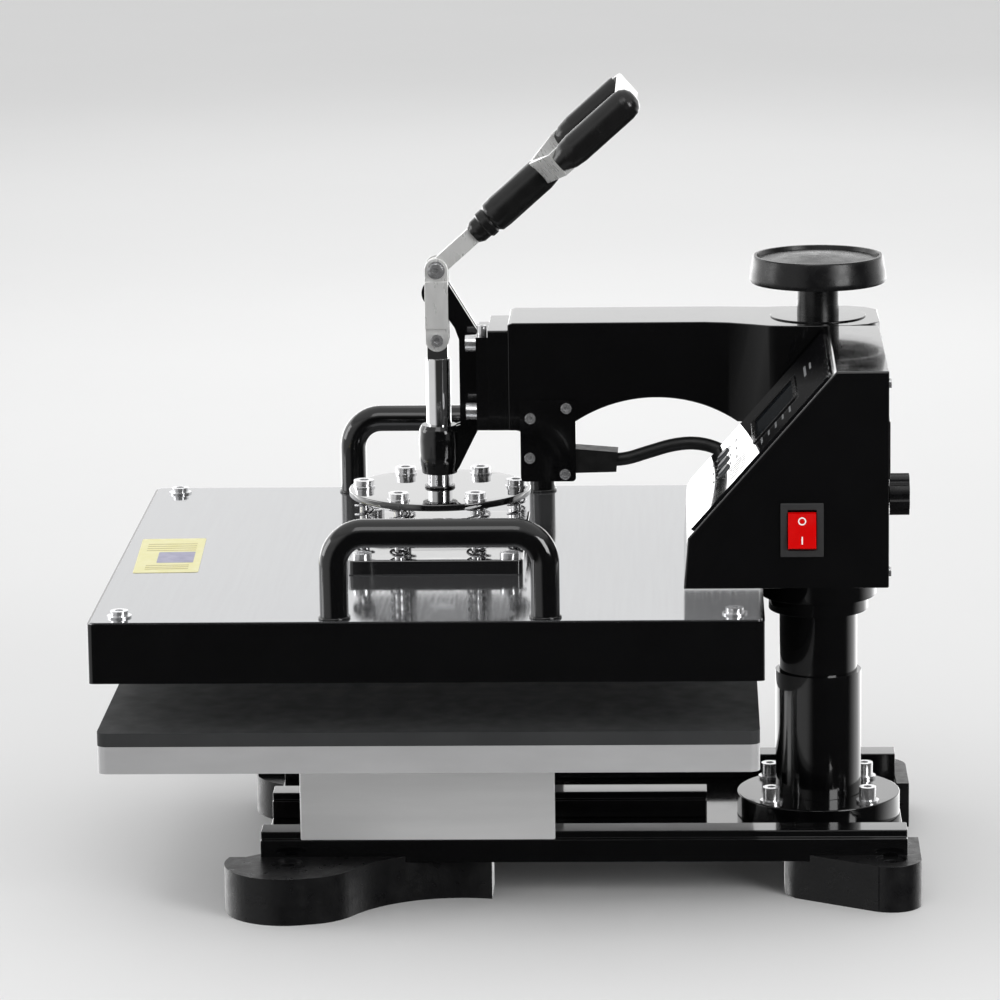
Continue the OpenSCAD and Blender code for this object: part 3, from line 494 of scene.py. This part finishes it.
def label_piece(name, outlines, mat):
    add(name, *join([plate(q, -0.05, 0.08, on_label) for q in outlines]), mat, "platen", "label_film")


label_piece("label_block", [rounded(30, 22, 1, 6, 4)], M["label_ink"])
left_rules = [rounded(1.2, 30, 0.4, -14 - 6 * k, 0) for k in range(4)]
right_rules = [rounded(1.2, 26, 0.4, 28 + 5 * k, 0) for k in range(3)]
label_piece("label_rules", left_rules + right_rules, M["label_line"])

# ---------------------------------------------------------------- pins in the supply inlet

INLET = (120, 263, 278)


def inlet_pin(dx, dz):
    centre = cad(INLET[0] + dx, INLET[1], INLET[2] + dz)
    return plate(rounded(4.2, 2, 0.6), -12.9, -2, lambda x, z, y: centre + Vector((x, y, z)) * MM)


pins = [inlet_pin(dx, dz) for dx, dz in ((-6, -1.5), (6, -1.5), (0, 4.5))]
add("inlet_pins", *join(pins), M["brass"], "arm", "bright", bevel=0.3 * MM)

# ---------------------------------------------------------------- weld beads at the carrying handles' feet

HANDLES_AT = ((182, 8), (-178.4, -4))
HANDLE_HALF = 60.3
BEAD_AT = 192.6


def weld_bead(x, y):
    ring = []
    for i in range(41):
        a = 2 * math.pi * i / 40
        ring.append(cad(x + 8.5 * math.cos(a), y + 8.5 * math.sin(a), BEAD_AT))
    return tube(ring, 0.9 * MM, 8)


beads = [weld_bead(x, y + side * HANDLE_HALF) for x, y in HANDLES_AT for side in (-1, 1)]
add("handle_welds", *join(beads), M["paint"], "platen", "black_paint", angle=80)


# ---------------------------------------------------------------- floor and lights

FLOOR_HALF = 14.0


def floor():
    me = bpy.data.meshes.new("floor")
    corners = [(-1, -1), (1, -1), (1, 1), (-1, 1)]
    me.from_pydata([(x * FLOOR_HALF, y * FLOOR_HALF, 0) for x, y in corners], [], [[0, 1, 2, 3]])
    o = bpy.data.objects.new("floor", me)
    bpy.context.scene.collection.objects.link(o)
    me.materials.append(material("pale_floor", (0.80, 0.80, 0.80), 0.75, spec=0.15, bump=(40, 0.02),
                                 rvar=(20, 0.03), cvar=(3, 0.4, (0.78, 0.78, 0.78))))
    o.visible_glossy = False      # the black paint stays black instead of mirroring the floor


def light(name, kind, loc, target, power):
    d = bpy.data.lights.new(name, kind)
    d.energy = power
    o = bpy.data.objects.new(name, d)
    bpy.context.scene.collection.objects.link(o)
    o.location = loc
    o.rotation_euler = (Vector(target) - Vector(loc)).to_track_quat("-Z", "Y").to_euler()
    return d


def soft_box(name, loc, target, width, height, power):
    d = light(name, "AREA", loc, target, power)
    d.shape = "RECTANGLE"
    d.size = width
    d.size_y = height


def pool(name, loc, target, power, cone):
    """A soft pool of light on the floor behind the press."""
    d = light(name, "SPOT", loc, target, power)
    d.spot_size = math.radians(cone)
    d.spot_blend = 1.0
    d.shadow_soft_size = 0.3


floor()
soft_box("right_box", (1.55, 1.50, 0.85), (0, 0.05, 0.27), 0.85, 1.0, 22)
soft_box("front_fill", (2.2, -0.3, 2.6), (0.5, -0.1, 0), 1.5, 1.5, 13)
soft_box("left_box", (-0.10, -2.30, 0.80), (0, 0, 0.27), 1.1, 1.0, 13)
pool("pool_far", (-2.9, 0.05, 3.0), (-2.5, 0.05, 0), 70, 62)
pool("pool_mid", (-1.7, 0.05, 2.4), (-1.35, 0.05, 0), 32, 60)

# ---------------------------------------------------------------- the room that the gloss parts mirror

WALL = 1.25                       # bright wall behind the press
LOW_WALL = 2.2                    # its brighter foot
SIDE = 0.65                       # paler wall at the operator's side
SKY = 0.80                        # soft ceiling
ROOM = 0.03                       # dark room behind the camera

world = bpy.data.worlds.new("soft_world")
bpy.context.scene.world = world
world.use_nodes = True
t = world.node_tree
for n in list(t.nodes):
    t.nodes.remove(n)
out = t.nodes.new("ShaderNodeOutputWorld")
bg = t.nodes.new("ShaderNodeBackground")
direction = t.nodes.new("ShaderNodeTexCoord")
sep = t.nodes.new("ShaderNodeSeparateXYZ")
t.links.new(direction.outputs["Generated"], sep.inputs[0])


def ramp(axis, start, end, top=1.0):
    """Rises smoothly from 0 at start to top at end, along one axis of the view direction."""
    r = t.nodes.new("ShaderNodeMapRange")
    r.interpolation_type = "SMOOTHSTEP"
    rising = end > start
    r.inputs["From Min"].default_value = min(start, end)
    r.inputs["From Max"].default_value = max(start, end)
    r.inputs["To Min"].default_value = 0.0 if rising else top
    r.inputs["To Max"].default_value = top if rising else 0.0
    t.links.new(sep.outputs[axis], r.inputs["Value"])
    return r.outputs[0]


def calc(operation, *values):
    """The values added or multiplied together, left to right."""
    total = values[0]
    for value in values[1:]:
        m = t.nodes.new("ShaderNodeMath")
        m.operation = operation
        t.links.new(total, m.inputs[0])
        if isinstance(value, float):
            m.inputs[1].default_value = value
        else:
            t.links.new(value, m.inputs[1])
        total = m.outputs[0]
    return total


wall = calc("MULTIPLY", ramp("X", 0.10, -0.55, WALL), ramp("Z", -0.50, -0.30), ramp("Z", 0.52, 0.34))
low = calc("MULTIPLY", ramp("X", -0.50, -0.85, LOW_WALL), ramp("Z", -0.30, -0.15), ramp("Z", 0.06, -0.02))
side = calc("MULTIPLY", ramp("Y", -0.22, -0.60, SIDE), ramp("Z", -0.45, -0.25), ramp("Z", 0.60, 0.40))
sky = ramp("Z", 0.22, 0.75, SKY)
t.links.new(calc("ADD", wall, low, side, sky, ROOM), bg.inputs["Color"])
t.links.new(bg.outputs[0], out.inputs[0])

# ---------------------------------------------------------------- camera

CAMERA_AT = Vector((2.935494, 0.104943, 0.829270))
AIM = Vector((0, -0.010401, 0.222521))
ROLL = math.radians(-0.8038)

camera = bpy.data.cameras.new("camera")
camera.lens = 178.69
camera.sensor_width = 36
camera.clip_start = 0.05
camera.clip_end = 60
o = bpy.data.objects.new("camera", camera)
bpy.context.scene.collection.objects.link(o)
turn = (AIM - CAMERA_AT).to_track_quat("-Z", "Y").to_matrix().to_4x4()
o.matrix_world = Matrix.Translation(CAMERA_AT) @ turn @ Matrix.Rotation(ROLL, 4, "Z")
bpy.context.scene.camera = o
bpy.context.scene.view_settings.view_transform = "Standard"
